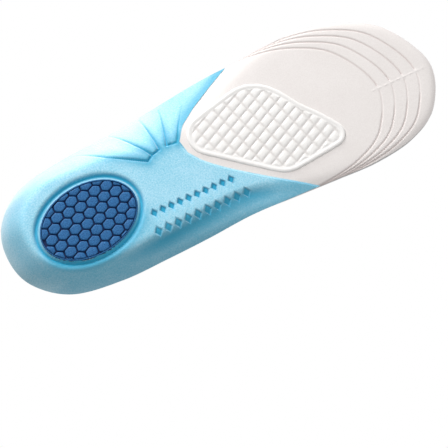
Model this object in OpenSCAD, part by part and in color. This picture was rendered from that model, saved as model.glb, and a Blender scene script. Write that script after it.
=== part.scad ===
// Cushioned insole for a left shoe: a glued laminate of fabric, foams, a moulded cup and two pads.
// Millimetres. +X runs to the toe, +Y to the outer side of the foot and +Z to the wearer.
// The origin is the centre of the bounding box on the plane that the insole lies on.

/* [Overall] */
// Length from the back of the heel cup to the toe
insole_length = 285; // [240:1:310]
// Width across the ball of the foot
ball_width = 95; // [80:1:105]

/* [Footbed] */
// Height of the footbed floor at the heel
heel_height = 10; // [9:0.5:14]
// Height of the footbed floor under the toes
toe_height = 5.5; // [5:0.5:8]
// Height that the arch wing rises above the footbed floor
arch_rise = 14; // [8:0.5:18]
// Height that the heel cup rises above the footbed floor
cup_rise = 10.5; // [6:0.5:14]

/* [Layers] */
// Thickness of the knitted cover
cover_t = 0.8; // [0.5:0.1:1.5]
// Thickness of each sheet of adhesive
film_t = 0.2; // [0.1:0.05:0.3]
// Thickness of the massage foam on the footbed floor
massage_t = 1.8; // [1.2:0.1:2.5]
// Thickness of the base foam over the shell
base_t = 1.7; // [1.2:0.1:2.5]
// Thickness of all the layers together at the rim
rim_t = 4.4; // [4:0.1:6]
// Thickness of the shell along its front edge
shell_edge_t = 0.8; // [0.5:0.1:1.5]

/* [Heel] */
// Length of the soft insert under the cover
cushion_length = 58; // [40:1:70]
// Width of the soft insert under the cover
cushion_width = 25; // [20:1:36]
// Height that the insert lifts the cover
cushion_bulge = 1.5; // [0:0.1:3]
// Length of the gel pad
gel_length = 62; // [50:1:66]
// Width of the gel pad
gel_width = 43; // [36:1:46]
// Depth of the gel pad's recess
gel_depth = 3; // [2:0.1:3.6]
// Pitch of the honeycomb along the insole
cell_pitch = 7.6; // [5:0.1:10]
// Width of the grooves between the cells
cell_gap = 1.3; // [0.8:0.1:2]

/* [Forefoot pad] */
// Depth that the waffle pad is let into the base foam
pad_inlay = 1.2; // [0.8:0.1:1.6]
// Pitch of the waffle pillows along their length
pillow_length = 8.25; // [6:0.25:12]
// Pitch of the waffle pillows across their length
pillow_width = 5.5; // [4:0.25:10]
// Share of the pitch that the grooves between the pillows take
pillow_gap = 0.2; // [0.1:0.05:0.4]
// Width of the smooth border around the pillows
pad_border = 3; // [1:0.5:5]

/* [Hidden] */

// The rim, from the back of the heel along the outer side to the toe and back along the inner side. Each row is
// [share of the length, share of the ball width, share of the rise, reach of the side wall in mm, which rise].
// The last value mixes the two rises: 0 is the heel cup's and 1 is the arch wing's.
RIM = [
    [0.015, -0.030, 1.00, 15, 0], [0.030, 0.160, 0.98, 15, 0], [0.090, 0.320, 0.88, 15, 0],
    [0.190, 0.383, 0.72, 16, 0], [0.290, 0.392, 0.60, 17, 0], [0.390, 0.397, 0.46, 18, 0],
    [0.490, 0.396, 0.30, 18, 0], [0.590, 0.422, 0.14, 16, 0], [0.690, 0.443, 0.03, 12, 0],
    [0.785, 0.453, 0.00, 9, 0], [0.880, 0.412, 0.00, 8, 0], [0.955, 0.287, 0.00, 8, 0],
    [1.000, 0.004, 0.00, 8, 0], [0.954, -0.324, 0.00, 8, 0], [0.874, -0.484, 0.00, 8, 0],
    [0.785, -0.553, 0.00, 9, 0], [0.690, -0.553, 0.02, 12, 1], [0.600, -0.530, 0.12, 22, 1],
    [0.510, -0.518, 0.46, 30, 1], [0.410, -0.497, 0.90, 34, 1], [0.310, -0.468, 1.00, 31, 1],
    [0.200, -0.440, 0.96, 23, 0.9], [0.095, -0.370, 1.00, 16, 0.3], [0.033, -0.217, 1.00, 15, 0]
];
STEPS = 4;               // samples between two rows of RIM
ROUND = len(RIM) * STEPS; // samples all round
RINGS = [0, 0.05, 0.12, 0.21, 0.33, 0.48, 0.68, 0.9]; // shares of the way from the rim to the spine
SPINE_SHARE = 0.78;      // length of the spine as a share of the length
SPINE_Y = -3;            // sideways place of the spine
WALL_POWER = 2;          // how sharply the side wall turns up
SLOPE_STEP = 0.02;       // step for the surface's slope

heel_drop_x = [0.28, 0.68] * insole_length;          // where the floor falls from heel to toe height
cushion_x = 0.17 * insole_length;                    // middle of the soft insert
gel_x = 0.1775 * insole_length;                      // middle of the gel pad
gel_y = 1.7;
gel_turn = -8.6;                                     // the pad's front end leans to the inner side
row_step = [0.43, 0.72] * cell_pitch;                // from one row of cells to the next
cell_start = [gel_x - 2, gel_y + 1.9];               // middle of one cell
cell_border = 0.4;                                   // from the outermost cells to the pad's edge
gel_fit = 1.5;                                       // gap around the gel pad in its recess
gel_plate_t = 1.4;                                   // web that joins the honeycomb's cells
front_x = 0.423 * insole_length;                     // rearmost point of the shell's front edge
front_y = -17;                                       // and its place across
front_round = 20;                                    // how gently the edge turns there
front_slope = [2.5, 1.5];                            // and how it runs on to the inner and the outer side
front_taper = 16;                                    // length over which the shell thins to its front edge
pillow_h = 0.9;                                      // height of the waffle pillows
pillow_turn = [-25, 76];                             // directions of the pillows' two sides
pillow_start = [0.5905 * insole_length, 0.5];        // middle of one pillow
pillow_inset = 0.5;                                  // from the border to the outermost pillows
diamond_size = [3.2, 4.4];
diamond_depth = 1.2;
diamond_count = 10;                                  // in each row
sole_row = [[0.3035 * insole_length, 14.5], [5.6, 0.1]];    // first diamond on the sole's flat, and the step
flank_row = [[0.2935 * insole_length, 25.6], [6.45, 0.1]];  // first diamond beside the flank, and the step
arch_groove_depth = 0.9;
arch_groove_half = [0.8, 0.25];                      // half the width at the inner and at the outer end
press_down = 3;                                      // how far the sole runs below ground before it is cut level

// Smooth maths
function clamp(v, lo, hi) = min(max(v, lo), hi);
function mix(a, b, k) = a + (b - a) * k;
function smooth(v) = let (k = clamp(v, 0, 1)) k * k * (3 - 2 * k);
function spline(a, b, c, d, k) =
    0.5 * (2 * b + (c - a) * k + (2 * a - 5 * b + 4 * c - d) * k * k + (3 * b - a - 3 * c + d) * k * k * k);

// One point of the rim: [x, y, rise of the wall, reach of the wall]
function rim_row(i) =
    let (r = RIM[(i + len(RIM)) % len(RIM)])
    [r[0] * insole_length, r[1] * ball_width, r[2] * mix(cup_rise, arch_rise, r[4]), r[3]];
function rim_at(s) =
    let (i = floor(s), k = s - i)
    k == 0 ? rim_row(i) : spline(rim_row(i - 1), rim_row(i), rim_row(i + 1), rim_row(i + 2), k);
function spine_at(x) = [insole_length / 2 + (x - insole_length / 2) * SPINE_SHARE, SPINE_Y];

// Height of the footbed floor, and the swelling over the soft insert
function floor_at(x) =
    mix(heel_height, toe_height, smooth((x - heel_drop_x[0]) / (heel_drop_x[1] - heel_drop_x[0])));
function bulge_at(x, y) =
    let (straight = (cushion_length - cushion_width) / 2,
         from_core = norm([max(abs(x - cushion_x) - straight, 0), y - SPINE_Y]))
    cushion_bulge * smooth(1.6 * (1 - 2 * from_core / cushion_width));

// The wearer's surface: s runs round the rim and r runs in from the rim, where it is 0
function footbed(s, r) =
    let (rim = rim_at(s), edge = [rim[0], rim[1]], spine = spine_at(rim[0]),
         spot = mix(edge, spine, r), inward = r * norm(spine - edge) / rim[3])
    [spot[0], spot[1], floor_at(spot[0]) + rim[2] * pow(1 - clamp(inward, 0, 1), WALL_POWER)
        + bulge_at(spot[0], spot[1])];
function wall_share(s, r) =
    let (rim = rim_at(s), reach = norm(spine_at(rim[0]) - [rim[0], rim[1]]))
    clamp(r * reach / rim[3], 0, 1);
function upward(s, r) =
    let (along = footbed(s + SLOPE_STEP, r) - footbed(s - SLOPE_STEP, r),
         inward = footbed(s, r + SLOPE_STEP) - footbed(s, r),
         n = cross(along, inward))
    n / norm(n) * sign(n[2]);

// The shell's front edge, a hooked curve across the sole
function front_at(y) =
    let (slope = y < front_y ? front_slope[0] : front_slope[1])
    front_x + slope * (norm([y - front_y, front_round]) - front_round);

// Depths below the wearer's surface: w is 0 at the rim and 1 on the footbed floor
function massage_depth(w) = cover_t + film_t + mix(0.55, 1, w) * massage_t;
function seat_depth(w) = massage_depth(w) + mix(0.6, 1, w) * base_t;
function sole_depth(x, w) = mix(rim_t, floor_at(x) + cushion_bulge + press_down, w);

// Surfaces, each a point of the footbed taken down along its own slope
function sunk(s, r, depth, lowest) =
    let (p = footbed(s, r) - upward(s, r) * depth)
    [p[0], p[1], max(p[2], lowest)];
function massage_under(s, r) =
    let (spot = footbed(s, r))
    sunk(s, r, massage_depth(wall_share(s, r)) + bulge_at(spot[0], spot[1]), 0);
function sole(s, r, lift) =
    sunk(s, r, sole_depth(footbed(s, r)[0], wall_share(s, r)) - lift, lift);
function base_under(s, r, lift) =
    let (w = wall_share(s, r), spot = footbed(s, r),
         seat = sunk(s, r, seat_depth(w) + bulge_at(spot[0], spot[1]) - lift, shell_edge_t + lift),
         bare = sole(s, r, shell_edge_t + lift),
         k = smooth((spot[0] - front_at(spot[1])) / front_taper + 1))
    mix(seat, bare, k);

// The closed solid between an upper and a lower surface, each a function of s and r
function cap_faces(first, flip) =
    [for (i = [0 : ROUND / 2 - 1])
        let (a = first + i, b = first + i + 1, c = first + (ROUND - i - 1) % ROUND, d = first + (ROUND - i) % ROUND,
             f = i == 0 ? [a, b, c] : b == c ? [a, b, d] : [a, b, c, d])
        flip ? [for (k = [len(f) - 1 : -1 : 0]) f[k]] : f];
function ring_faces(first, flip) =
    [for (j = [0 : len(RINGS) - 2], i = [0 : ROUND - 1])
        let (a = first + j * ROUND + i, b = first + j * ROUND + (i + 1) % ROUND, c = b + ROUND, d = a + ROUND)
        for (f = [[a, b, c], [a, c, d]]) flip ? [f[2], f[1], f[0]] : f];
module layer(upper, lower) {
    half = ROUND * len(RINGS);
    last = ROUND * (len(RINGS) - 1);
    points = concat([for (r = RINGS, i = [0 : ROUND - 1]) upper(i / STEPS, r)],
                    [for (r = RINGS, i = [0 : ROUND - 1]) lower(i / STEPS, r)]);
    skirt = [for (i = [0 : ROUND - 1]) let (j = (i + 1) % ROUND) for (f = [[i, half + i, half + j], [i, half + j, j]]) f];
    place() polyhedron(points, concat(
        triangles(cap_faces(last, false)), ring_faces(0, false),
        triangles(cap_faces(half + last, true)), ring_faces(half, true), skirt));
}
function triangles(faces) = [for (f = faces, k = [1 : len(f) - 2]) [f[0], f[k], f[k + 1]]];

// Centring of the finished box on the origin
OUTER = [for (i = [0 : ROUND - 1]) for (p = [sole(i / STEPS, 0, 0), footbed(i / STEPS, 0)]) p];
BOX_X = [min([for (p = OUTER) p[0]]), max([for (p = OUTER) p[0]])];
BOX_Y = [min([for (p = OUTER) p[1]]), max([for (p = OUTER) p[1]])];
module place() translate([-(BOX_X[0] + BOX_X[1]) / 2, -(BOX_Y[0] + BOX_Y[1]) / 2, 0]) children();

// Plans of the pieces that are cut to an outline
function oval(length, width, count) =
    [for (i = [0 : count - 1]) [length / 2 * cos(360 * i / count), width / 2 * sin(360 * i / count)]];
module gel_plan(grow) translate([gel_x, gel_y]) rotate(gel_turn)
    polygon(oval(gel_length + 2 * grow, gel_width + 2 * grow, 72));
module cushion_plan() {
    straight = (cushion_length - cushion_width) / 2;
    translate([cushion_x, SPINE_Y]) {
        for (side = [-1, 1]) translate([side * straight, 0]) circle(d = cushion_width);
        square([2 * straight, cushion_width], center = true);
    }
}
// Corners of the waffle pad: [x, y, radius of the corner]
PAD_CORNERS = [[0.486, -0.163, 13.3], [0.589, -0.095, 26.3], [0.722, 0.166, 8.7], [0.618, 0.079, 19.7]];
module pad_plan(shrink) {
    hull() for (c = PAD_CORNERS)
        translate([c[0] * insole_length, c[1] * ball_width]) circle(r = c[2] - shrink, $fn = 48);
}
module shell_plan() {
    reach = ball_width;
    steps = 48;
    edge = [for (i = [0 : steps]) let (y = mix(-reach, reach, i / steps)) [front_at(y), y]];
    polygon(concat(edge, [[-reach, reach], [-reach, -reach]]));
}

// Pieces
module top_cover() color("whitesmoke")
    layer(function (s, r) footbed(s, r), function (s, r) sunk(s, r, cover_t, 0));
module cover_bond_film() color("gainsboro")
    layer(function (s, r) sunk(s, r, cover_t, 0), function (s, r) sunk(s, r, cover_t + film_t, 0));
module massage_slab()
    layer(function (s, r) sunk(s, r, cover_t + film_t, 0), function (s, r) massage_under(s, r));
module cushion_prism() place() linear_extrude(2 * (heel_height + arch_rise)) cushion_plan();
module massage_foam() color("white") difference() {
    massage_slab();
    cushion_prism();
}
module heel_cushion() color("lavender") intersection() {
    massage_slab();
    cushion_prism();
}
module base_foam() color("antiquewhite") difference() {
    layer(function (s, r) massage_under(s, r), function (s, r) base_under(s, r, 0));
    place() linear_extrude(shell_edge_t + pad_inlay) pad_plan(0);
}
module shell_slab(lift) layer(function (s, r) base_under(s, r, -lift), function (s, r) sole(s, r, 0));
module shell_bond_film() color("gainsboro") intersection() {
    layer(function (s, r) base_under(s, r, 0), function (s, r) base_under(s, r, -film_t));
    place() linear_extrude(2 * (heel_height + arch_rise)) shell_plan();
}
module diamond() polygon([[-diamond_size[0] / 2, 0], [0, -diamond_size[1] / 2], [diamond_size[0] / 2, 0],
                          [0, diamond_size[1] / 2]]);
module diamond_row(row)
    for (i = [0 : diamond_count - 1]) translate(row[0] + i * row[1]) linear_extrude(diamond_depth) diamond();
// Grooves that fan out over the arch flank: [x, y] of the inner end and of the thin outer end
ARCH_GROOVES = [[[97.9, -15.9], [66.7, -40.4]], [[102.1, -18.3], [90.6, -45.6]], [[107.5, -19.6], [110.4, -45.8]],
                [[112.8, -20.1], [123.1, -45.9]], [[119.1, -19.0], [132, -40]]];
module arch_groove_plan() {
    for (g = ARCH_GROOVES) {
        along = (g[1] - g[0]) / norm(g[1] - g[0]);
        across = [-along[1], along[0]];
        inner = arch_groove_half[0] * across;
        outer = arch_groove_half[1] * across;
        polygon([g[0] - inner, g[0] + inner, g[1] + outer, g[1] - outer]);
    }
}
module arch_grooves() intersection() {
    layer(function (s, r) sole(s, r, arch_groove_depth), function (s, r) sole(s, r, -arch_groove_depth));
    place() linear_extrude(heel_height + arch_rise, center = true) arch_groove_plan();
}
module support_shell() color("skyblue") difference() {
    intersection() {
        shell_slab(film_t);
        place() linear_extrude(2 * (heel_height + arch_rise)) shell_plan();
    }
    place() {
        linear_extrude(gel_depth) gel_plan(gel_fit);
        diamond_row(sole_row);
        diamond_row(flank_row);
    }
    arch_grooves();
}
module cell() {
    // The hexagon between the middles of six neighbours, less the groove
    a = [cell_pitch, 0];
    corners = [a + row_step, 2 * row_step - a, row_step - 2 * a];
    share = (1 - cell_gap / cell_pitch) / 3;
    polygon(concat([for (c = corners) share * c], [for (c = corners) -share * c]));
}
module honeycomb() {
    columns = ceil(gel_length / cell_pitch / 2) + 3;
    rows = ceil(gel_width / row_step[1] / 2) + 1;
    for (j = [-rows : rows], i = [-columns : columns])
        translate(i * [cell_pitch, 0] + j * row_step) cell();
}
module heel_gel_pad() color("navy") place() {
    top = gel_depth - film_t;
    translate([0, 0, top - gel_plate_t]) linear_extrude(gel_plate_t) gel_plan(0);
    linear_extrude(top - gel_plate_t) intersection() {
        gel_plan(-cell_border);
        translate(cell_start) honeycomb();
    }
}
module gel_bond_film() color("gainsboro") place()
    translate([0, 0, gel_depth - film_t]) linear_extrude(film_t) gel_plan(0);
module pillows() {
    count = 9;
    sides = [pillow_length * [cos(pillow_turn[0]), sin(pillow_turn[0])],
             pillow_width * [cos(pillow_turn[1]), sin(pillow_turn[1])]];
    share = (1 - pillow_gap) / 2;
    for (i = [-count : count], j = [-count : count])
        translate(pillow_start + i * sides[0] + j * sides[1])
            polygon([for (k = [[-1, -1], [1, -1], [1, 1], [-1, 1]]) share * (k[0] * sides[0] + k[1] * sides[1])]);
}
module forefoot_pad() color("white") place() {
    top = shell_edge_t + pad_inlay - film_t;
    translate([0, 0, pillow_h]) linear_extrude(top - pillow_h) pad_plan(0);
    linear_extrude(pillow_h) {
        difference() {
            pad_plan(0);
            pad_plan(pad_border);
        }
        intersection() {
            pad_plan(pad_border + pillow_inset);
            pillows();
        }
    }
}
module forefoot_bond_film() color("gainsboro") place()
    translate([0, 0, shell_edge_t + pad_inlay - film_t]) linear_extrude(film_t) pad_plan(0);

top_cover();
cover_bond_film();
massage_foam();
heel_cushion();
base_foam();
shell_bond_film();
support_shell();
heel_gel_pad();
gel_bond_film();
forefoot_pad();
forefoot_bond_film();
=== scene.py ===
"""Looks of a cushioned insole for a left shoe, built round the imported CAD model.

Lengths in this file are millimetres until a mesh is made. The last's own frame has X from the back of
the heel to the toe, Y to the outer side of the foot and Z up to the wearer, as in part.scad. Every layer
of the laminate is a closed solid between two surfaces, and each surface is a function of (s, r): s runs
round the rim and r runs in from it.
"""

import math

import bmesh
import bpy
import numpy as np
from mathutils import Matrix, Vector


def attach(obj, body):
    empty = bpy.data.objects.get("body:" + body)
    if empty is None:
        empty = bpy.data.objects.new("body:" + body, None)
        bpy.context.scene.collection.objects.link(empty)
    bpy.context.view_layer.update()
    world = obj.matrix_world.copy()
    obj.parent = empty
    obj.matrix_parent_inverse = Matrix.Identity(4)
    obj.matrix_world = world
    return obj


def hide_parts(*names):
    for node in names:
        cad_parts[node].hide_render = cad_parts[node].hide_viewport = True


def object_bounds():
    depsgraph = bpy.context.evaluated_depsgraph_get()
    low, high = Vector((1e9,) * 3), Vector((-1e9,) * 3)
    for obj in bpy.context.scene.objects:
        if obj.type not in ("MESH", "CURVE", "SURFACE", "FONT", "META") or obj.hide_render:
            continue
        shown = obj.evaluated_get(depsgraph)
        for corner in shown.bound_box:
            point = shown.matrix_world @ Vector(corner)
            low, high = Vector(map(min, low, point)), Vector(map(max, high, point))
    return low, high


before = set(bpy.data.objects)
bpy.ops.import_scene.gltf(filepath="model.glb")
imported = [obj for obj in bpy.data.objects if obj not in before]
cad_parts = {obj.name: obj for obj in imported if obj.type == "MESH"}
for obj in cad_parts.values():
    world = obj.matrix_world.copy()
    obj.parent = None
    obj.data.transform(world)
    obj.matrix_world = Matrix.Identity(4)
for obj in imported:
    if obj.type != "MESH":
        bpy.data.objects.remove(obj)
CAD_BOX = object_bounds()
MM = 0.001

# ---------------------------------------------------------------- sizes, as in part.scad

LENGTH = 285.0
BALL_WIDTH = 95.0
HEEL_HEIGHT = 10.0
TOE_HEIGHT = 5.5
ARCH_RISE = 14.0
CUP_RISE = 10.5
COVER_T = 0.8
FILM_T = 0.2
MASSAGE_T = 1.8
BASE_T = 1.7
RIM_T = 4.4
SHELL_EDGE_T = 0.8
CUSHION_LENGTH = 58.0
CUSHION_WIDTH = 25.0
CUSHION_BULGE = 1.5
CUSHION_X = 0.17 * LENGTH
GEL_LENGTH = 62.0
GEL_WIDTH = 43.0
GEL_DEPTH = 3.0
GEL_X = 0.1775 * LENGTH
GEL_Y = 1.7
GEL_TURN = math.radians(-8.6)
CELL_PITCH = 7.6
ROW_STEP = np.array([0.43, 0.72]) * CELL_PITCH
CELL_START = np.array([GEL_X - 2, GEL_Y + 1.9])
GEL_PLATE_T = 1.4
PAD_INLAY = 1.2
PILLOW_LENGTH = 8.25
PILLOW_WIDTH = 5.5
PILLOW_TURN = (math.radians(-25), math.radians(76))
PILLOW_START = np.array([0.5905 * LENGTH, 0.5])
PAD_BORDER = 3.0
FRONT_X = 0.423 * LENGTH
FRONT_Y = -17.0
FRONT_ROUND = 20.0
FRONT_SLOPE = (2.5, 1.5)
FRONT_TAPER = 16.0
SPINE_SHARE = 0.78
SPINE_Y = -3.0
WALL_POWER = 2.0

# ---------------------------------------------------------------- sizes of this script's own

CUSHION_EDGE = 3.6  # width of the slope round the swelling over the heel insert
INSERT_ROOM = 1.5   # depth of the massage foam's hollow for the heel insert
INSERT_GAP = 0.1    # left free above and below the heel insert
CELL_GAP = 0.85     # between the gel pad's cells
PILLOW_H = 0.65     # height of the waffle pad's pillows

# Rows of the rim, from the back of the heel along the outer side to the toe and back along the inner side:
# share of the length, share of the ball width, share of the rise, reach of the side wall, and which rise.
RIM_ROWS = np.array([
    [0.015, -0.030, 1.00, 15, 0], [0.030, 0.160, 0.98, 15, 0], [0.090, 0.320, 0.88, 15, 0],
    [0.190, 0.383, 0.72, 16, 0], [0.290, 0.392, 0.60, 17, 0], [0.390, 0.397, 0.46, 18, 0],
    [0.490, 0.396, 0.30, 18, 0], [0.590, 0.422, 0.14, 16, 0], [0.690, 0.443, 0.03, 12, 0],
    [0.785, 0.453, 0.00, 9, 0], [0.880, 0.412, 0.00, 8, 0], [0.955, 0.287, 0.00, 8, 0],
    [1.000, 0.004, 0.00, 8, 0], [0.954, -0.324, 0.00, 8, 0], [0.874, -0.484, 0.00, 8, 0],
    [0.785, -0.553, 0.00, 9, 0], [0.690, -0.553, 0.02, 12, 1], [0.600, -0.530, 0.12, 22, 1],
    [0.510, -0.518, 0.46, 30, 1], [0.410, -0.497, 0.90, 34, 1], [0.310, -0.468, 1.00, 31, 1],
    [0.200, -0.440, 0.96, 23, 0.9], [0.095, -0.370, 1.00, 16, 0.3], [0.033, -0.217, 1.00, 15, 0],
])
RIM = np.stack([
    RIM_ROWS[:, 0] * LENGTH,
    RIM_ROWS[:, 1] * BALL_WIDTH,
    RIM_ROWS[:, 2] * (CUP_RISE + (ARCH_RISE - CUP_RISE) * RIM_ROWS[:, 4]),
    RIM_ROWS[:, 3],
], axis=1)
TOE_S = len(RIM) / 2  # the rim's parameter at the tip of the toe; the heel's is 0


# ---------------------------------------------------------------- smooth maths

def mix(a, b, k):
    return a + (b - a) * k


def smooth(v):
    k = np.clip(v, 0, 1)
    return k * k * (3 - 2 * k)


def soft_floor(z, lowest, soften=1.2):
    """z where it is well above lowest, and lowest where it is well below, with a rounded turn between."""
    over = z - lowest
    return lowest + (over + np.sqrt(over * over + soften * soften)) / 2


def spline(a, b, c, d, k):
    square = 2 * a - 5 * b + 4 * c - d
    cube = 3 * b - a - 3 * c + d
    return 0.5 * (2 * b + (c - a) * k + square * k ** 2 + cube * k ** 3)


def closed_spline(rows, s):
    """Points of the closed curve through rows, at the parameters s."""
    i = np.floor(s).astype(int)
    k = (s - i)[..., None]
    a, b, c, d = (rows[(i + step) % len(rows)] for step in (-1, 0, 1, 2))
    return spline(a, b, c, d, k)


# ---------------------------------------------------------------- the footbed and the layers under it

def rim_reach(s):
    """The rim's rows, and the distance from the rim to the spine."""
    rim = closed_spline(RIM, s)
    spine_x = LENGTH / 2 + (rim[..., 0] - LENGTH / 2) * SPINE_SHARE
    return rim, spine_x, np.hypot(spine_x - rim[..., 0], SPINE_Y - rim[..., 1])


def wall_share(s, r):
    """0 at the rim and 1 where the side wall meets the floor."""
    rim, _, reach = rim_reach(s)
    return np.clip(r * reach / rim[..., 3], 0, 1)


def floor_at(x):
    return mix(HEEL_HEIGHT, TOE_HEIGHT, smooth((x / LENGTH - 0.28) / 0.40))


def from_core(x, y):
    """Distance from the straight core of the heel insert."""
    straight = (CUSHION_LENGTH - CUSHION_WIDTH) / 2
    return np.hypot(np.maximum(np.abs(x - CUSHION_X) - straight, 0), y - SPINE_Y)


def bulge_at(x, y):
    return CUSHION_BULGE * smooth((CUSHION_WIDTH / 2 - from_core(x, y)) / CUSHION_EDGE)


def footbed(s, r, bulge=True):
    rim, spine_x, reach = rim_reach(s)
    x = mix(rim[..., 0], spine_x, r)
    y = mix(rim[..., 1], SPINE_Y, r)
    wall = rim[..., 2] * (1 - np.clip(r * reach / rim[..., 3], 0, 1)) ** WALL_POWER
    z = floor_at(x) + wall
    if bulge:
        z = z + bulge_at(x, y)
    return np.stack([x, y, z], axis=-1)


def upward(s, r):
    """Unit normals of the footbed, pointing to the wearer."""
    step = 0.02
    along = footbed(s + step, r, False) - footbed(s - step, r, False)
    inward = footbed(s, r + step, False) - footbed(s, r, False)
    n = np.cross(along, inward)
    n /= np.maximum(np.linalg.norm(n, axis=-1, keepdims=True), 1e-9)
    return n * np.where(n[..., 2:] < 0, -1, 1)


def massage_depth(w):
    return COVER_T + FILM_T + mix(0.55, 1, w) * MASSAGE_T


def seat_depth(w):
    return massage_depth(w) + mix(0.6, 1, w) * BASE_T


def front_at(y):
    """The shell's front edge, a hooked curve across the sole."""
    slope = np.where(y < FRONT_Y, *FRONT_SLOPE)
    return FRONT_X + slope * (np.hypot(y - FRONT_Y, FRONT_ROUND) - FRONT_ROUND)


def behind_front(x, y):
    """Distance behind the shell's front edge."""
    slope = np.where(y < FRONT_Y, *FRONT_SLOPE) * (y - FRONT_Y) / np.hypot(y - FRONT_Y, FRONT_ROUND)
    return (front_at(y) - x) / np.hypot(1, slope)


def sunk(s, r, depth, lowest=0.0):
    p = footbed(s, r) - upward(s, r) * np.asarray(depth)[..., None]
    p[..., 2] = np.maximum(p[..., 2], lowest)
    return p


def massage_under(s, r):
    spot = footbed(s, r)
    return sunk(s, r, massage_depth(wall_share(s, r)) + bulge_at(spot[..., 0], spot[..., 1]))


def sole(s, r, lift=0.0):
    """The outer surface of the whole laminate, lifted by lift."""
    p = footbed(s, r, False)
    depth = mix(RIM_T, floor_at(p[..., 0]) + 3, wall_share(s, r)) - lift
    p = p - upward(s, r) * depth[..., None]
    p[..., 2] = soft_floor(p[..., 2], lift)
    return p


def base_under(s, r, lift=0.0):
    """The underside of the base foam: the shell's seat at the back and the bare sole in front."""
    spot = footbed(s, r, False)
    seat = spot - upward(s, r) * (seat_depth(wall_share(s, r)) - lift)[..., None]
    seat[..., 2] = np.maximum(seat[..., 2], SHELL_EDGE_T + lift)
    bare = sole(s, r, SHELL_EDGE_T + lift)
    k = smooth((spot[..., 0] - front_at(spot[..., 1])) / FRONT_TAPER + 1)
    return mix(seat, bare, k[..., None])


# ---------------------------------------------------------------- meshes

def placement():
    """From the last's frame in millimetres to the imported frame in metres."""
    s = np.linspace(0, 2 * TOE_S, 960, endpoint=False)
    outer = np.concatenate([footbed(s, 0 * s), sole(s, 0 * s)])
    middle = (outer.min(axis=0) + outer.max(axis=0)) / 2
    lo, hi = (np.array(corner) / MM for corner in CAD_BOX)
    shift = (lo + hi) / 2 - middle
    return np.array([shift[0], shift[1], lo[2]])


SHIFT = placement()


def new_object(name, points, faces, sharp=40.0, painted_shade=None):
    """A smooth-shaded mesh from points in the last's frame, with each point's painted shade if given."""
    mesh = bpy.data.meshes.new(name)
    mesh.from_pydata(((np.asarray(points) + SHIFT) * MM).tolist(), [], faces)
    if painted_shade is not None:
        mesh.attributes.new("painted_shade", "FLOAT", "POINT").data.foreach_set("value", painted_shade.astype(np.float32))
    work = bmesh.new()
    work.from_mesh(mesh)
    bmesh.ops.remove_doubles(work, verts=work.verts, dist=1e-6)
    bmesh.ops.dissolve_degenerate(work, edges=work.edges, dist=1e-7)
    bmesh.ops.recalc_face_normals(work, faces=work.faces)
    work.to_mesh(mesh)
    work.free()
    mesh.polygons.foreach_set("use_smooth", [True] * len(mesh.polygons))
    mesh.set_sharp_from_angle(angle=math.radians(sharp))
    obj = bpy.data.objects.new(name, mesh)
    bpy.context.scene.collection.objects.link(obj)
    return obj


def crossing(ring, side):
    """The rim parameter at which a ring of the sole meets the shell's front edge, on one side."""
    s = np.linspace(3, TOE_S, 1200)
    p = sole(side * s, np.full_like(s, ring))
    ahead = p[:, 0] - front_at(p[:, 1])
    i = int(np.argmax(ahead > 0))
    return mix(s[i - 1], s[i], -ahead[i - 1] / (ahead[i] - ahead[i - 1]))


def grid(shares, rings, to_front=False):
    """The (s, r) grid.

    Its rows run from the toe along the inner side round the heel to the toe, or between the front edges.
    """
    rings = np.asarray(rings)
    if to_front:
        outer = np.array([crossing(ring, 1) for ring in rings])
        inner = np.array([crossing(ring, -1) for ring in rings])
    else:
        outer = inner = np.full(len(rings), TOE_S)
    s = np.concatenate([-shares[:0:-1, None] * inner, shares[:, None] * outer])
    return s, np.broadcast_to(rings, s.shape)


def quads(start, i, j, rings):
    a = start + i * rings + j
    return np.stack([a, a + rings, a + rings + 1, a + 1], axis=-1).reshape(-1, 4).tolist()


def sheet_faces(rows, rings, start):
    """Faces of one surface of a layer: the rings' quads, and a strip that closes the gap along the spine."""
    faces = quads(start, *np.mgrid[:rows - 1, :rings - 1], rings)
    half = rows // 2
    for k in range(half):
        a, b = (start + (half + k + step) * rings + rings - 1 for step in (0, 1))
        c, d = (start + (half - k - step) * rings + rings - 1 for step in (1, 0))
        faces.append((a, b, c) if k == 0 else (a, b, c, d))
    return faces


def surface_points(surface, s, r):
    """A surface's points, and the painted shade each takes where the surface gives one."""
    made = surface(s, r)
    points, painted_shade = made if isinstance(made, tuple) else (made, np.zeros(s.shape))
    return points.reshape(-1, 3), painted_shade.ravel()


def layer(name, s, r, shown, hidden, sharp=40.0, hidden_rings=7):
    """The closed solid between two surfaces. The hidden one takes only a few of the rings."""
    rows, rings = s.shape
    kept = np.unique(np.linspace(0, rings - 1, hidden_rings).astype(int))
    top, top_shade = surface_points(hidden, s[:, kept], r[:, kept])
    low, low_shade = surface_points(shown, s, r)
    below, wide = len(top), len(kept)
    faces = sheet_faces(rows, wide, 0) + sheet_faces(rows, rings, below)
    for i in range(rows - 1):
        faces.append((i * wide, (i + 1) * wide, below + (i + 1) * rings, below + i * rings))
    if s[-1, 0] < TOE_S - 1e-6:
        for row in (0, rows - 1):
            upper_line = [row * wide + j for j in range(wide)]
            faces.append(upper_line + [below + row * rings + j for j in range(rings - 1, -1, -1)])
        faces.append((wide - 1, rows * wide - 1, below + rows * rings - 1, below + rings - 1))
    return new_object(name, np.concatenate([top, low]), faces, sharp, np.concatenate([top_shade, low_shade]))


def rings_from(fine, middle, count_fine, count_middle):
    """Shares of the way in from the rim: close together as far as fine, then evenly spaced to middle."""
    outer = np.linspace(0, fine, count_fine, endpoint=False)
    return np.concatenate([outer, np.linspace(fine, middle, count_middle)])


# ---------------------------------------------------------------- materials

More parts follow.
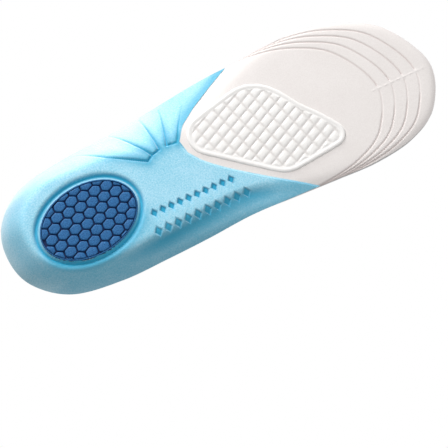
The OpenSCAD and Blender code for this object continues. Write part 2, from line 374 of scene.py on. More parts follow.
class Nodes:
    """A short way to write a material's nodes."""

    def __init__(self, name):
        self.material = bpy.data.materials.new(name)
        self.material.use_nodes = True
        self.tree = self.material.node_tree
        self.shader = self.tree.nodes["Principled BSDF"]

    def add(self, kind, inputs=None, **settings):
        node = self.tree.nodes.new(kind)
        for key, value in settings.items():
            setattr(node, key, value)
        for key, value in (inputs or {}).items():
            self.feed(node.inputs[key], value)
        return node

    def feed(self, socket, value):
        if isinstance(value, bpy.types.NodeSocket):
            self.tree.links.new(value, socket)
        else:
            socket.default_value = value

    def place(self, turn=0.0, stretch=(1, 1, 1)):
        """The object's own coordinates, turned about Z and stretched."""
        coords = self.add("ShaderNodeTexCoord").outputs["Object"]
        return self.add("ShaderNodeMapping", {
            "Vector": coords, "Rotation": (0, 0, turn), "Scale": stretch,
        }).outputs["Vector"]

    def noise(self, size_mm, detail=3.0, place=None, roughness=0.5):
        return self.add("ShaderNodeTexNoise", {
            "Vector": place or self.place(), "Scale": 1 / (size_mm * MM),
            "Detail": detail, "Roughness": roughness,
        }).outputs["Fac"]

    def ramp(self, fac, low, high, start=0.3, end=0.7):
        node = self.add("ShaderNodeValToRGB", {"Fac": fac})
        node.color_ramp.elements[0].position = start
        node.color_ramp.elements[0].color = (*low, 1)
        node.color_ramp.elements[1].position = end
        node.color_ramp.elements[1].color = (*high, 1)
        return node.outputs["Color"]

    def blend(self, fac, a, b, how="MIX"):
        node = self.add("ShaderNodeMix", data_type="RGBA", blend_type=how)
        self.feed(node.inputs["Factor"], fac)
        self.feed(node.inputs["A"], a if isinstance(a, bpy.types.NodeSocket) else (*a, 1))
        self.feed(node.inputs["B"], b if isinstance(b, bpy.types.NodeSocket) else (*b, 1))
        return node.outputs["Result"]

    def maths(self, how, a, b=0.0):
        return self.add("ShaderNodeMath", {0: a, 1: b}, operation=how).outputs[0]

    def bump(self, height, depth_mm, below=None):
        inputs = {"Height": height, "Distance": depth_mm * MM, "Strength": 1.0}
        if below is not None:
            inputs["Normal"] = below
        return self.add("ShaderNodeBump", inputs).outputs["Normal"]

    def finish(self, color, normal, **sockets):
        self.feed(self.shader.inputs["Base Color"], color)
        self.feed(self.shader.inputs["Normal"], normal)
        for name, value in sockets.items():
            self.feed(self.shader.inputs[name.replace("_", " ")], value)
        return self.material


def knit_material():
    """White knitted mesh: slanted ribs with small open stitches between them."""
    n = Nodes("cover_knit")
    place = n.place(turn=math.radians(14))
    ribs = n.add("ShaderNodeTexWave", {
        "Vector": place, "Scale": 1 / (2.0 * MM * 20) * math.pi * 2, "Distortion": 0.6, "Detail": 1.0,
    }, wave_type="BANDS", bands_direction="X").outputs["Fac"]
    stitches = n.add("ShaderNodeTexVoronoi", {
        "Vector": n.place(turn=math.radians(14), stretch=(1.0, 0.7, 1.0)),
        "Scale": 1 / (1.3 * MM), "Randomness": 0.35,
    }).outputs["Distance"]
    fuzz = n.noise(0.5, 4)
    height = n.maths("ADD", n.maths("MULTIPLY", ribs, 0.7), n.maths("MULTIPLY", stitches, 0.5))
    height = n.maths("ADD", height, n.maths("MULTIPLY", fuzz, 0.25))
    # painted shade: the weave is darker in its low parts, by the same height as its bumps
    shade = n.ramp(height, (0.62, 0.62, 0.67), (0.84, 0.84, 0.88), 0.25, 0.8)
    tint = n.ramp(n.noise(40, 2), (0.96, 0.96, 1.0), (1.0, 0.99, 0.99))
    color = n.blend(1.0, shade, tint, "MULTIPLY")
    return n.finish(color, n.bump(height, 0.16), Roughness=0.85, Sheen_Weight=0.35, Sheen_Roughness=0.5,
                    Specular_IOR_Level=0.25)


def foam_material(name, low, high, grain_mm=0.5, depth_mm=0.05, roughness=0.6, painted_shade_color=None, **sockets):
    """Foam with a fine pored skin, a slow drift of colour, and if given a deep colour painted as shade where
    the mesh asks.
    """
    n = Nodes(name)
    pores = n.noise(grain_mm, 5, roughness=0.65)
    drift = n.noise(25, 2)
    blend = n.maths("ADD", n.maths("MULTIPLY", pores, 0.75), n.maths("MULTIPLY", drift, 0.25))
    color = n.ramp(blend, low, high, 0.35, 0.65)
    if painted_shade_color is not None:
        # painted shade: the deep colour is mixed in by the mesh's painted shade amount
        hollow = n.add("ShaderNodeAttribute", attribute_name="painted_shade").outputs["Fac"]
        color = n.blend(hollow, color, painted_shade_color)
    dimples = n.add("ShaderNodeTexVoronoi", {
        "Vector": n.place(), "Scale": 1 / (grain_mm * 1.7 * MM),
    }).outputs["Distance"]
    height = n.maths("ADD", n.maths("MULTIPLY", pores, 0.7), n.maths("MULTIPLY", dimples, 0.3))
    return n.finish(color, n.bump(height, depth_mm), Roughness=roughness, **sockets)


def gel_material():
    """Navy gel speckled on the cells' tops, with painted shade making it dark down in the grooves."""
    n = Nodes("gel")
    spot = n.add("ShaderNodeTexCoord").outputs["Object"]
    height = n.add("ShaderNodeSeparateXYZ", {"Vector": spot}).outputs["Z"]
    grain = n.noise(0.7, 4, roughness=0.7)
    top = n.ramp(grain, (0.005, 0.060, 0.190), (0.035, 0.190, 0.450), 0.35, 0.65)
    # painted shade: darker the further a point lies into the grooves between the cells
    groove_shade = n.add("ShaderNodeMapRange", {
        "Value": height, "From Min": 0.35 * MM, "From Max": 1.2 * MM,
    }).outputs["Result"]
    color = n.blend(groove_shade, top, (0.004, 0.020, 0.095))
    return n.finish(color, n.bump(grain, 0.10), Roughness=0.55, Specular_IOR_Level=0.25)


def film_material():
    n = Nodes("bond_film")
    haze = n.noise(1.5, 3)
    return n.finish(n.ramp(haze, (0.72, 0.72, 0.68), (0.86, 0.86, 0.83)), n.bump(haze, 0.02), Roughness=0.35)


def dressed(obj, material, slot_name, *nodes):
    obj.data.materials.append(material)
    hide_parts(*nodes)
    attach(obj, "root")
    return obj


KNIT = knit_material()
SOFT_FOAM = foam_material("soft_foam", (0.84, 0.84, 0.85), (0.94, 0.94, 0.94), 0.6, 0.08, 0.9)
# the base foam's deep colour is painted shade in its trimming lines
BASE_FOAM = foam_material("base_foam", (0.76, 0.715, 0.695), (0.83, 0.79, 0.77), 0.7, 0.03, 0.6,
                          painted_shade_color=(0.62, 0.54, 0.52))
# the shell's deep colour is painted shade in its hollows and on its outer flank
SHELL_FOAM = foam_material("shell_foam", (0.18, 0.56, 0.74), (0.46, 0.76, 0.91), 0.9, 0.2, 0.6,
                           painted_shade_color=(0.003, 0.36, 0.58), Sheen_Weight=1.0, Sheen_Roughness=0.5,
                           Specular_IOR_Level=0.3)
# the pad's deep colour is painted shade in the grooves between the pillows
PAD_FOAM = foam_material("pad_foam", (0.84, 0.82, 0.80), (0.90, 0.885, 0.87), 0.7, 0.03, 0.6,
                         painted_shade_color=(0.52, 0.48, 0.46))
GEL = gel_material()
FILM = film_material()

# ---------------------------------------------------------------- the cover and the soft layers

DOME_PITCH = 16.7      # along the insole
DOME_ROW = 12.0        # across it, every other row shifted by half the pitch
DOME_RADIUS = 5.2
DOME_HEIGHT = 1.25
RIDGE_SHARE = 0.9      # of the wall's reach, where the domes stop
DOME_MARGIN = 6.5      # from the rim, where there is no wall


def dome_centres():
    """The massage domes' places and sizes: none on the walls or the heel insert, and small ones round it."""
    s = np.linspace(0, 2 * TOE_S, 480, endpoint=False)
    rim = closed_spline(RIM, s)
    centres = []
    for row in range(-5, 6):
        for step in range(0, 19):
            x = (step + 0.5 * (row % 2)) * DOME_PITCH + 6
            y = SPINE_Y + row * DOME_ROW
            gap = np.hypot(rim[:, 0] - x, rim[:, 1] - y)
            nearest = int(np.argmin(gap))
            inside = rim[:, 1].min() < y < rim[:, 1].max() and 0 < x < LENGTH
            walled = smooth(rim[nearest, 2] / 3)
            room = gap[nearest] - mix(DOME_MARGIN, rim[nearest, 3] * RIDGE_SHARE, walled)
            if inside and room > 0 and bulge_at(np.array(x), np.array(y)) == 0:
                centres.append((x, y, mix(0.55, 1.0, float(smooth((x - 0.28 * LENGTH) / (0.22 * LENGTH))))))
    return centres


DOMES = dome_centres()


def domes_at(x, y):
    height = np.zeros_like(x)
    for cx, cy, size in DOMES:
        near = 1 - ((x - cx) ** 2 + (y - cy) ** 2) / (DOME_RADIUS * mix(0.75, 1, size)) ** 2
        height += DOME_HEIGHT * size * np.clip(near, 0, 1) ** 1.5
    return height


def cover_top(s, r):
    p = footbed(s, r)
    return p + upward(s, r) * domes_at(p[..., 0], p[..., 1])[..., None]


def make_cover():
    s, r = grid(np.linspace(0, 1, 480), rings_from(0.1, 0.985, 10, 78))
    cover = layer("knitted_cover", s, r, cover_top, lambda s, r: sunk(s, r, COVER_T))
    dressed(cover, KNIT, "cover_knit", "top_cover")


def make_inner_layers():
    s, r = grid(np.linspace(0, 1, 200), rings_from(0.1, 0.975, 5, 22))
    film = layer("cover_glue", s, r,
                 lambda s, r: sunk(s, r, COVER_T), lambda s, r: sunk(s, r, COVER_T + FILM_T))
    dressed(film, FILM, "bond_film", "cover_bond_film")
    foam = layer("massage_layer", s, r, massage_top, massage_under)
    dressed(foam, SOFT_FOAM, "soft_foam", "massage_foam")


def massage_top(s, r):
    """The massage foam's top, hollowed for the heel insert."""
    spot = footbed(s, r)
    x, y = spot[..., 0], spot[..., 1]
    inside = smooth((CUSHION_WIDTH / 2 - from_core(x, y) + 1.2) / 1.2)
    return sunk(s, r, COVER_T + FILM_T + (INSERT_ROOM + bulge_at(x, y)) * inside)


def make_insert():
    """The soft insert under the heel: a pill with a crowned top, in the massage foam's hollow."""
    turn = np.linspace(0, 2 * math.pi, 120, endpoint=False)
    way = np.stack([np.cos(turn), np.sin(turn)], axis=1)
    straight = (CUSHION_LENGTH - CUSHION_WIDTH) / 2
    core = np.array([CUSHION_X, SPINE_Y]) + np.stack([np.sign(way[:, 0]) * straight, 0 * turn], axis=1)
    ceiling = HEEL_HEIGHT - COVER_T - FILM_T - INSERT_GAP
    low = ceiling - INSERT_ROOM + 2 * INSERT_GAP
    crown = [(share, ceiling + CUSHION_BULGE * smooth((1 - share) * CUSHION_WIDTH / 2 / CUSHION_EDGE))
             for share in (0.99, 0.94, 0.88, 0.82, 0.76, 0.70, 0.30)]
    points, faces = [], []
    stack_rings([(core + way * CUSHION_WIDTH / 2 * share, height)
                 for share, height in [(0.93, low), (1.0, low + 0.4), *crown]], points, faces)
    insert = new_object("heel_insert", points, faces, 60)
    dressed(insert, SOFT_FOAM, "soft_foam", "heel_cushion")


# ---------------------------------------------------------------- the shell and what is moulded into it

FLANK_DIP = 2.0        # depth of the valley between the sole's flat and its outer flank
FLANK_DIP_AT = 0.55    # where it is deepest, as a share of the side wall's reach
MOAT_OUT = 2.3         # from the gel pad's edge to the middle of the groove round it
MOAT_HALF = 1.4
MOAT_DEPTH = 2.0
COLLAR_DIP = 0.35      # how far the collar round the gel pad is below the pad's rim
LIP_T = 0.5            # how far the shell's front edge is rounded off
HALO = 0.9             # how strongly the shallow hollows take the painted shade
FLANK_SHADE = 0.35      # and the outer flank, painted darker where it turns from the light
DIAMOND = np.array([2.5, 3.2])
DIAMOND_DEPTH = 1.3
DIAMOND_COUNT = 10
UPPER_ROW = np.array([0.3035 * LENGTH, 14.5]) + np.outer(np.arange(DIAMOND_COUNT), [5.6, 0.1])
FLANK_ROW = np.array([0.2935 * LENGTH, 25.6]) + np.outer(np.arange(DIAMOND_COUNT), [6.45, 0.1])
GROOVE_DEPTH = 1.4
# The arch grooves, each from its wide inner end to its thin outer end
ARCH_GROOVES = np.array([
    [[97.9, -15.9], [78.0, -28.5], [63.0, -42.0]],
    [[102.1, -18.3], [96.0, -30.0], [89.0, -46.5]],
    [[107.5, -19.6], [108.2, -32.0], [109.5, -47.0]],
    [[112.8, -20.1], [117.0, -32.0], [122.0, -46.5]],
    [[119.1, -19.0], [124.5, -28.0], [134.0, -41.0]],
])


def gel_gap(x, y):
    """Distance outside the gel pad's outline."""
    dx, dy = x - GEL_X, y - GEL_Y
    u = dx * math.cos(GEL_TURN) + dy * math.sin(GEL_TURN)
    v = dy * math.cos(GEL_TURN) - dx * math.sin(GEL_TURN)
    a, b = GEL_LENGTH / 2, GEL_WIDTH / 2
    q = np.hypot(u / a, v / b)
    return q * (q - 1) / np.maximum(np.hypot(u / a ** 2, v / b ** 2), 1e-6)


def from_line(x, y, start, end):
    """Distance from a straight line between two points, and the share of the way along it."""
    run = end - start
    k = np.clip(((x - start[0]) * run[0] + (y - start[1]) * run[1]) / (run @ run), 0, 1)
    return np.hypot(x - start[0] - k * run[0], y - start[1] - k * run[1]), k


def arch_depth(x, y):
    """Depth of the grooves that fan out over the arch and of the steps joining them, and nearness to one."""
    depth, nearness = np.zeros_like(x), np.zeros_like(x)
    for route in ARCH_GROOVES:
        for part, (start, end) in enumerate(zip(route, route[1:])):
            gap, k = from_line(x, y, start, end)
            way = (part + k) / 2
            depth = np.maximum(depth, mix(GROOVE_DEPTH, 0.25, way) * (1 - smooth(gap / mix(1.3, 0.6, way))))
            nearness = np.maximum(nearness, np.exp(-(gap / 4.0) ** 2) * (1 - way))
    for i in (0, 1, 3):
        gap, _ = from_line(x, y, ARCH_GROOVES[i, 0], ARCH_GROOVES[i + 1, 0])
        depth = np.maximum(depth, 0.9 * GROOVE_DEPTH * (1 - smooth(gap / 1.2)))
    return depth, nearness


def diamond_depth(x, y, centres, sizes, ramp):
    """Sharp diamonds, each with a soft ramp on the outer side of the foot."""
    depth = np.zeros_like(x)
    for cx, cy in centres:
        dx, dy = np.abs(x - cx), y - cy
        inside = dx / sizes[0] + np.abs(dy) / sizes[1]
        depth = np.maximum(depth, DIAMOND_DEPTH * smooth((1 - inside) / 0.35))
        soft = dx / 3.0 + np.where(dy > 0, dy / ramp, -dy / sizes[1])
        depth = np.maximum(depth, 0.75 * np.clip(1 - soft, 0, 1))
    return depth


def flank_dip(s, r, x, y):
    """The valley that sets the sole's flat off from its flank, but not under the arch."""
    rim, _, _ = rim_reach(s)
    w = wall_share(s, r)
    rise = smooth(w / FLANK_DIP_AT) * (1 - smooth((w - FLANK_DIP_AT) / 0.32))
    strength = mix(0.35, 1, smooth((x - 45) / 45)) * smooth((24 - rim[..., 3]) / 7)
    return FLANK_DIP * rise * strength * smooth(behind_front(x, y) / 14)


def shell_sole(s, r):
    p = sole(s, r)
    x, y = p[..., 0], p[..., 1]
    gap = gel_gap(x, y)
    seat = GEL_DEPTH * (1 - smooth((gap + 0.5) / 0.5)) + COLLAR_DIP * (1 - smooth((gap - 0.2) / 0.8))
    moat = MOAT_DEPTH * np.exp(-((gap - MOAT_OUT) / MOAT_HALF) ** 2)
    pits = diamond_depth(x, y, UPPER_ROW, DIAMOND, 5.5)
    pits = np.maximum(pits, 0.8 * diamond_depth(x, y, FLANK_ROW, 1.2 * DIAMOND, 3.0))
    grooves, by_groove = arch_depth(x, y)
    thin = smooth(behind_front(x, y) / 10)
    cuts = np.maximum(grooves * mix(0.35, 1, thin), pits)
    inner = smooth((-22 - y) / 8)
    lip = LIP_T * (1 - smooth(behind_front(x, y) / mix(1.3, 4.0, inner)))
    moulded = np.maximum(np.maximum(seat, moat), cuts)
    valley = flank_dip(s, r, x, y)
    p = p + upward(s, r) * (moulded + lip + valley)[..., None]
    # Painted shade in the deep colour: the groove round the gel pad, the arch grooves and diamonds, soft
    # halos beside them and below the gel pad, the flank's valley, the outer flank and a band behind the inner
    # front edge.
    below_gel = smooth((y - 2) / 18) * np.exp(-(np.maximum(gap - MOAT_OUT, 0) / 5.0) ** 2)
    flank = FLANK_SHADE * smooth((y - 26) / 4) * smooth(1.5 - 1.2 * wall_share(s, r))
    soft_shade = np.maximum(HALO * np.maximum(np.maximum(below_gel, valley / FLANK_DIP), by_groove), flank)
    front_shade = 0.7 * inner * np.exp(-(behind_front(x, y) / 5.0) ** 2)
    cut_shade = 2.2 * np.maximum(grooves, pits / 1.7) / GROOVE_DEPTH
    painted_shade = np.maximum(np.maximum(1.5 * moat / MOAT_DEPTH, cut_shade), np.maximum(soft_shade, front_shade))
    return p, np.clip(painted_shade, 0, 1)


def make_shell_film():
    s, r = grid(np.linspace(0, 0.992, 160), rings_from(0.1, 0.98, 5, 20), to_front=True)
    film = layer("shell_glue", s, r, lambda s, r: base_under(s, r, -FILM_T), base_under)
    dressed(film, FILM, "bond_film", "shell_bond_film")


def make_shell():
    s, r = grid(np.linspace(0, 1, 480), rings_from(0.1, 0.999, 10, 80), to_front=True)
    shell = layer("molded_shell", s, r, shell_sole, lambda s, r: base_under(s, r, -FILM_T))
    dressed(shell, SHELL_FOAM, "shell_foam", "support_shell")


# ---------------------------------------------------------------- the base foam and its toe lines

TRIM_STEPS = (11.4, 20.4, 29.4, 38.2)   # from the toe to each trimming line
TRIM_NARROW = 0.001                     # each line narrows by this share for each millimetre of its step
TRIM_HALF = 0.75
SET_BACK = 0.25                         # how far the base is clear of the shell behind the shell's front edge
TRIM_DEPTH = 0.45
RIDGE_Y = 2.2                           # the trimming lines stop at a ridge along the middle of the toe
PAD_CORNERS = np.array([
    [0.486, -0.163, 13.3], [0.589, -0.095, 26.3], [0.722, 0.166, 8.7], [0.618, 0.079, 19.7],
])


def pad_gap(x, y):
    """Distance outside the waffle pad's outline, drawn round four circles and pulled in a little in front."""
    centres = PAD_CORNERS[:, :2] * [LENGTH, BALL_WIDTH]
    gap = np.full(x.shape, -1e9)
    for turn in np.linspace(0, 2 * math.pi, 144, endpoint=False):
        n = np.array([math.cos(turn), math.sin(turn)])
        gap = np.maximum(gap, x * n[0] + y * n[1] - (centres @ n + PAD_CORNERS[:, 2]).max())
    return gap + 1.0 * np.exp(-((x - 199) ** 2 + (y + 9) ** 2) / 9 ** 2)


def toe_lines(x, y):
    """The moulded trimming lines: the toe's own outline moved back, once for each smaller size."""
    depth = np.zeros_like(x)
    toe = closed_spline(RIM, np.linspace(TOE_S - 6, TOE_S + 6, 900))[:, :2]
    near = np.flatnonzero((x > 0.60 * LENGTH).ravel())
    px, py = x.ravel()[near], y.ravel()[near]
    flat = depth.ravel()
    for step in TRIM_STEPS:
        line = (toe - [step, 0]) * [1, 1 - TRIM_NARROW * step]
        gap = np.full(len(px), 1e9)
        for q in line:
            gap = np.minimum(gap, (px - q[0]) ** 2 + (py - q[1]) ** 2)
        flat[near] = np.maximum(flat[near], TRIM_DEPTH * (1 - smooth(np.sqrt(gap) / TRIM_HALF)))
    fade = mix(0.45, 1, smooth((np.abs(y - 10) - 5) / 5))
    depth = flat.reshape(x.shape) * fade * smooth((np.abs(y - RIDGE_Y) - 1.2) / 0.8)
    ridge = (1 - smooth(np.abs(y - RIDGE_Y) / 0.9)) * smooth((x - 241) / 3) * smooth((281 - x) / 3)
    dashes = 0.6 + 0.4 * np.cos(2 * math.pi * (x - 243) / 4.5)
    return depth - 0.2 * ridge * dashes


def base_sole(s, r):
    p = base_under(s, r)
    x, y = p[..., 0], p[..., 1]
    seat = (PAD_INLAY + 0.3) * (1 - smooth((pad_gap(x, y) + 0.8) / 0.6))
    lines = toe_lines(x, y)
    under_shell = SET_BACK * smooth((behind_front(x, y) - 0.3) / 1.0)
    p = p + upward(s, r) * (seat + lines + under_shell)[..., None]
    # painted shade in the trimming lines, by their depth
    return p, np.clip(lines / TRIM_DEPTH, 0, 1)


def make_base():
    shares = np.concatenate([np.linspace(0, 0.36, 60, endpoint=False), np.linspace(0.36, 1, 400)])
    s, r = grid(shares, rings_from(0.1, 0.999, 10, 88))
    base = layer("base_layer", s, r, base_sole, massage_under)
    dressed(base, BASE_FOAM, "base_foam", "base_foam")


# ---------------------------------------------------------------- the gel pad

def clipped(polygon, outline):
    """A convex polygon cut to a convex outline, both counter-clockwise."""
    for a, b in zip(outline, np.roll(outline, -1, axis=0)):
        edge = b - a
        side = (polygon - a) @ np.array([-edge[1], edge[0]])
        kept = []
        for i in range(len(polygon)):
            j = (i + 1) % len(polygon)
            if side[i] >= 0:
                kept.append(polygon[i])
            if side[i] * side[j] < 0:
                kept.append(mix(polygon[i], polygon[j], side[i] / (side[i] - side[j])))
        if len(kept) < 3:
            return None
        polygon = np.array(kept)
    return polygon


def rounded(polygon, shares=(0.11, 0.25)):
    """The polygon with its corners cut by each share of a side in turn."""
    for share in shares:
        after = np.roll(polygon, -1, axis=0)
        ends = [mix(polygon, after, share), mix(polygon, after, 1 - share)]
        polygon = np.stack(ends, axis=1).reshape(-1, 2)
    return polygon


def gel_outline(grow, count=120):
    turn = np.linspace(0, 2 * math.pi, count, endpoint=False)
    u, v = (GEL_LENGTH / 2 + grow) * np.cos(turn), (GEL_WIDTH / 2 + grow) * np.sin(turn)
    c, n = math.cos(GEL_TURN), math.sin(GEL_TURN)
    return np.stack([GEL_X + u * c - v * n, GEL_Y + u * n + v * c], axis=1)


def stack_rings(rings, points, faces):
    """Add a plug made of rings of points, each [outline, height], closed at both ends."""
    count = len(rings[0][0])
    start = len(points)
    for outline, height in rings:
        points += [(*p, height) for p in outline]
    for k in range(len(rings) - 1):
        for i in range(count):
            a, b = start + k * count + i, start + k * count + (i + 1) % count
            faces.append((a, b, b + count, a + count))
    faces.append([start + i for i in range(count)])
    faces.append([start + (len(rings) - 1) * count + i for i in range(count)])


def flat_film(name, outline, low):
    """A thin glue film with a rounded edge, lying level from low upwards."""
    points, faces = [], []
    middle = outline.mean(axis=0)
    narrow = mix(outline, middle, 0.01)
    stack_rings([(narrow, low), (outline, low + FILM_T / 2), (narrow, low + FILM_T)],
                points, faces)
    return new_object(name, points, faces)


def cell_rings(cell):
    """A honeycomb cell's outline, drawn in step by step to a soft-edged, slightly crowned top."""
    middle = cell.mean(axis=0)
    plate = GEL_DEPTH - FILM_T - GEL_PLATE_T
    steps = [(0.0, plate + 0.2), (0.0, 0.5), (0.10, 0.22), (0.32, 0.06), (0.8, 0.02), (1.8, 0.0)]
    reach = np.linalg.norm(cell - middle, axis=1).min()
    return [(mix(cell, middle, min(inset / reach, 0.9)), height) for inset, height in steps]


def make_gel_pad():
    points, faces = [], []
    plate = GEL_DEPTH - FILM_T - GEL_PLATE_T
    stack_rings([(gel_outline(0), GEL_DEPTH - FILM_T), (gel_outline(0.05), 0.12), (gel_outline(-0.1), 0.0),
                 (gel_outline(-0.6), 0.05), (gel_outline(-0.75), plate)], points, faces)
    a = np.array([CELL_PITCH, 0])
    corners = np.array([a + ROW_STEP, 2 * ROW_STEP - a, ROW_STEP - 2 * a]) / 3
    cell = np.concatenate([corners, -corners]) * (1 - CELL_GAP / CELL_PITCH)
    border = gel_outline(-1.0)
    for row in range(-6, 7):
        for column in range(-8, 9):
            whole = CELL_START + column * a + row * ROW_STEP + cell
            part = clipped(whole, border)
            if part is not None and np.ptp(part[:, 0]) > 1.2 and np.ptp(part[:, 1]) > 1.2:
                stack_rings(cell_rings(rounded(part)), points, faces)
    pad = new_object("honeycomb_pad", points, faces, 50)
    dressed(pad, GEL, "gel", "heel_gel_pad")
    film = flat_film("gel_glue", gel_outline(-0.3), GEL_DEPTH - FILM_T)
    dressed(film, FILM, "bond_film", "gel_bond_film")


# ---------------------------------------------------------------- the waffle pad

def pillow_depth(x, y):
    """How far the grooves between the pillows fall below the pillows' tops."""
    sides = np.array([[PILLOW_LENGTH * math.cos(PILLOW_TURN[0]), PILLOW_WIDTH * math.cos(PILLOW_TURN[1])],
                      [PILLOW_LENGTH * math.sin(PILLOW_TURN[0]), PILLOW_WIDTH * math.sin(PILLOW_TURN[1])]])
    to_grid = np.linalg.inv(sides)
    dx, dy = x - PILLOW_START[0], y - PILLOW_START[1]
    crown = np.ones_like(x)
    for row in to_grid:
        across = row[0] * dx + row[1] * dy
        crown = crown * (1 - np.abs(2 * (across - np.round(across))) ** 3.0)
    return PILLOW_H * (1 - crown)


def pad_rays(count, rings):
    """Points on rays from the pad's middle to its outline, and each point's distance inside it."""
    middle = np.array([170.0, -3.0])
    turn = np.linspace(0, 2 * math.pi, count, endpoint=False)
    way = np.stack([np.cos(turn), np.sin(turn)], axis=1)
    near, far = np.full(count, 5.0), np.full(count, 80.0)
    for _ in range(24):
        half = (near + far) / 2
        spot = middle + way * half[:, None]
        outside = pad_gap(spot[:, 0], spot[:, 1]) > 0
        near, far = np.where(outside, near, half), np.where(outside, half, far)
    return middle + way[:, None, :] * (near[:, None] * rings)[..., None]


def make_waffle_pad():
    count = 420
    rings = 1 - np.concatenate([[0], np.linspace(0.004, 0.10, 16), np.linspace(0.107, 0.985, 94)])
    flat = pad_rays(count, rings)
    x, y = flat[..., 0], flat[..., 1]
    inside = -pad_gap(x, y)
    puff = 1 - np.sqrt(np.clip(1 - np.clip(1 - inside / 1.6, 0, 1) ** 2, 0, 1))
    valley = 0.3 * np.exp(-((inside - PAD_BORDER - 0.2) / 0.9) ** 2)
    waffle = pillow_depth(x, y) * smooth((inside - PAD_BORDER + 0.8) / 2.2)
    z = 0.05 + 1.0 * puff + np.maximum(waffle, valley)
    points = np.concatenate([flat, z[..., None]], axis=-1).reshape(-1, 3)
    wide = len(rings)
    wrap = np.concatenate([points, points[:wide]])
    faces = quads(0, *np.mgrid[:count, :wide - 1], wide)
    top = PAD_INLAY + SHELL_EDGE_T - FILM_T
    back = np.concatenate([flat[:, 0], np.full((count, 1), top)], axis=-1)
    first = len(wrap)
    faces += [(i * wide, ((i + 1) % count) * wide, first + (i + 1) % count, first + i) for i in range(count)]
    faces.append([first + i for i in range(count)])
    faces.append([i * wide + wide - 1 for i in range(count)])
    # painted shade in the grooves between the pillows, by their depth
    groove_shade = 0.5 * np.clip(waffle / PILLOW_H, 0, 1).ravel() ** 2
    painted_shade = np.concatenate([groove_shade, groove_shade[:wide], np.zeros(count)])
    pad = new_object("waffle_pad", np.concatenate([wrap, back]), faces, 50, painted_shade)
    dressed(pad, PAD_FOAM, "pad_foam", "forefoot_pad")
    film = flat_film("waffle_glue", mix(flat[:, 0], flat[:, 0].mean(axis=0), 0.02), top)
    dressed(film, FILM, "bond_film", "forefoot_bond_film")


make_cover()
make_inner_layers()
make_insert()
make_base()
make_shell_film()
make_shell()
make_gel_pad()
make_waffle_pad()

# ---------------------------------------------------------------- floor, lights and camera

CAMERA_LEAN = math.radians(15)      # towards the outer side of the foot
CAMERA_HEEL = math.radians(15)      # towards the heel
CAMERA_ROLL = math.radians(25.2)    # the toe points up and to the right
CAMERA_AWAY = 1.0
FLOOR_EVEN = 0.7                    # share of the floor's brightness that shadows don't reach
GLOW = 0.25                         # brightness of the surroundings
CAMERA_LENS = 134.65
CAMERA_AIM = (0.00125, -0.0435)     # the aim's place right of and above the insole's middle
CAMERA_AIM_HEIGHT = 0.008           # height of the point aimed at


def make_floor():
    """A pale floor, lit evenly from within, that shows only from above: the sole is seen from below it."""
    bpy.ops.mesh.primitive_plane_add(size=30, location=(0, 0, CAD_BOX[0][2] - 0.0005))
    floor = bpy.context.object
    floor.name = "floor"
    n = Nodes("floor")
    n.feed(n.shader.inputs["Base Color"], n.ramp(n.noise(60, 2), (0.84, 0.84, 0.84), (0.87, 0.87, 0.87)))
    n.feed(n.shader.inputs["Roughness"], 0.8)
    even = n.add("ShaderNodeEmission", {"Color": (0.86, 0.86, 0.86, 1)}).outputs[0]
    pale = n.add("ShaderNodeMixShader", {0: FLOOR_EVEN, 1: n.shader.outputs[0], 2: even}).outputs[0]
    clear = n.add("ShaderNodeBsdfTransparent").outputs[0]
    behind = n.add("ShaderNodeNewGeometry").outputs["Backfacing"]
    both = n.add("ShaderNodeMixShader", {0: behind, 1: pale, 2: clear}).outputs[0]
    n.feed(n.tree.nodes["Material Output"].inputs["Surface"], both)
    floor.data.materials.append(n.material)
    floor.visible_diffuse = False
    floor.visible_glossy = False
    floor.visible_transmission = False
    floor.visible_shadow = False


def area_light(name, place, size, watts, color=(1, 1, 1)):
    data = bpy.data.lights.new(name, "AREA")
    data.shape = "DISK"
    data.size = size
    data.energy = watts
    data.color = color
    lamp = bpy.data.objects.new(name, data)
    lamp.location = place
    lamp.rotation_euler = (-Vector(place)).to_track_quat("-Z", "Y").to_euler()
    bpy.context.scene.collection.objects.link(lamp)


def light_from(name, axes, way, distance, size, watts, color=(1, 1, 1)):
    """A soft light whose direction is given by how far right, up and back it is for the camera."""
    place = sum((axis * share for axis, share in zip(axes, way)), Vector()).normalized() * distance
    area_light(name, place, size, watts, color)


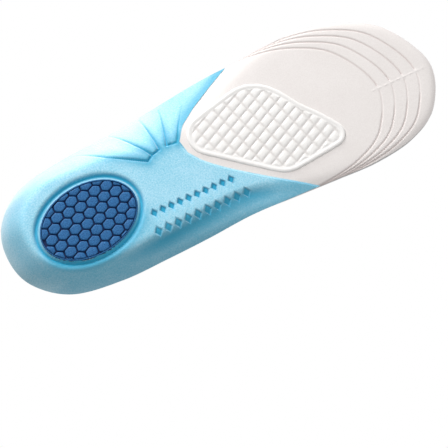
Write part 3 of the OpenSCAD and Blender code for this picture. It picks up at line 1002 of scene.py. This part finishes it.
def make_world():
    world = bpy.data.worlds.new("studio")
    bpy.context.scene.world = world
    world.use_nodes = True
    nodes, links = world.node_tree.nodes, world.node_tree.links
    seen = nodes.new("ShaderNodeBackground")
    seen.inputs["Color"].default_value = (1, 1, 1, 1)
    seen.inputs["Strength"].default_value = 1.0
    glow = nodes["Background"]
    glow.inputs["Color"].default_value = (1, 1, 1, 1)
    glow.inputs["Strength"].default_value = GLOW
    path = nodes.new("ShaderNodeLightPath")
    both = nodes.new("ShaderNodeMixShader")
    links.new(path.outputs["Is Camera Ray"], both.inputs[0])
    links.new(glow.outputs[0], both.inputs[1])
    links.new(seen.outputs[0], both.inputs[2])
    links.new(both.outputs[0], nodes["World Output"].inputs["Surface"])


def make_camera():
    """Below the sole, leaning to the outer side and to the heel, with the toe up and to the right."""
    lean, heel = CAMERA_LEAN, CAMERA_HEEL
    back = Vector((-math.sin(heel), math.sin(lean) * math.cos(heel), -math.cos(lean) * math.cos(heel)))
    toe = Vector((1, 0, 0))
    toe = (toe - back * toe.dot(back)).normalized()
    across = back.cross(toe)
    right = toe * math.cos(CAMERA_ROLL) - across * math.sin(CAMERA_ROLL)
    up = back.cross(right)
    data = bpy.data.cameras.new("camera")
    data.lens = CAMERA_LENS
    camera = bpy.data.objects.new("camera", data)
    target = Vector((0, 0, CAMERA_AIM_HEIGHT)) + right * CAMERA_AIM[0] + up * CAMERA_AIM[1]
    turn = Matrix((right, up, back)).transposed().to_4x4()
    camera.matrix_world = Matrix.Translation(target + back * CAMERA_AWAY) @ turn
    bpy.context.scene.collection.objects.link(camera)
    bpy.context.scene.camera = camera
    return right, up, back


make_floor()
make_world()
AXES = make_camera()
light_from("key_below", AXES, (-0.50, 0.74, 0.42), 1.0, 0.30, 7.2)
light_from("rim_below", AXES, (-0.30, 0.92, -0.08), 1.0, 0.35, 6.5)
light_from("fill_below", AXES, (0.6, 0.1, 1.0), 1.3, 0.8, 5.5)
area_light("key_above", (0.5, -0.95, 0.5), 0.25, 14)
area_light("fill_above", (-0.8, 0.6, 0.9), 0.9, 4.5)
bpy.context.scene.view_settings.view_transform = "Standard"
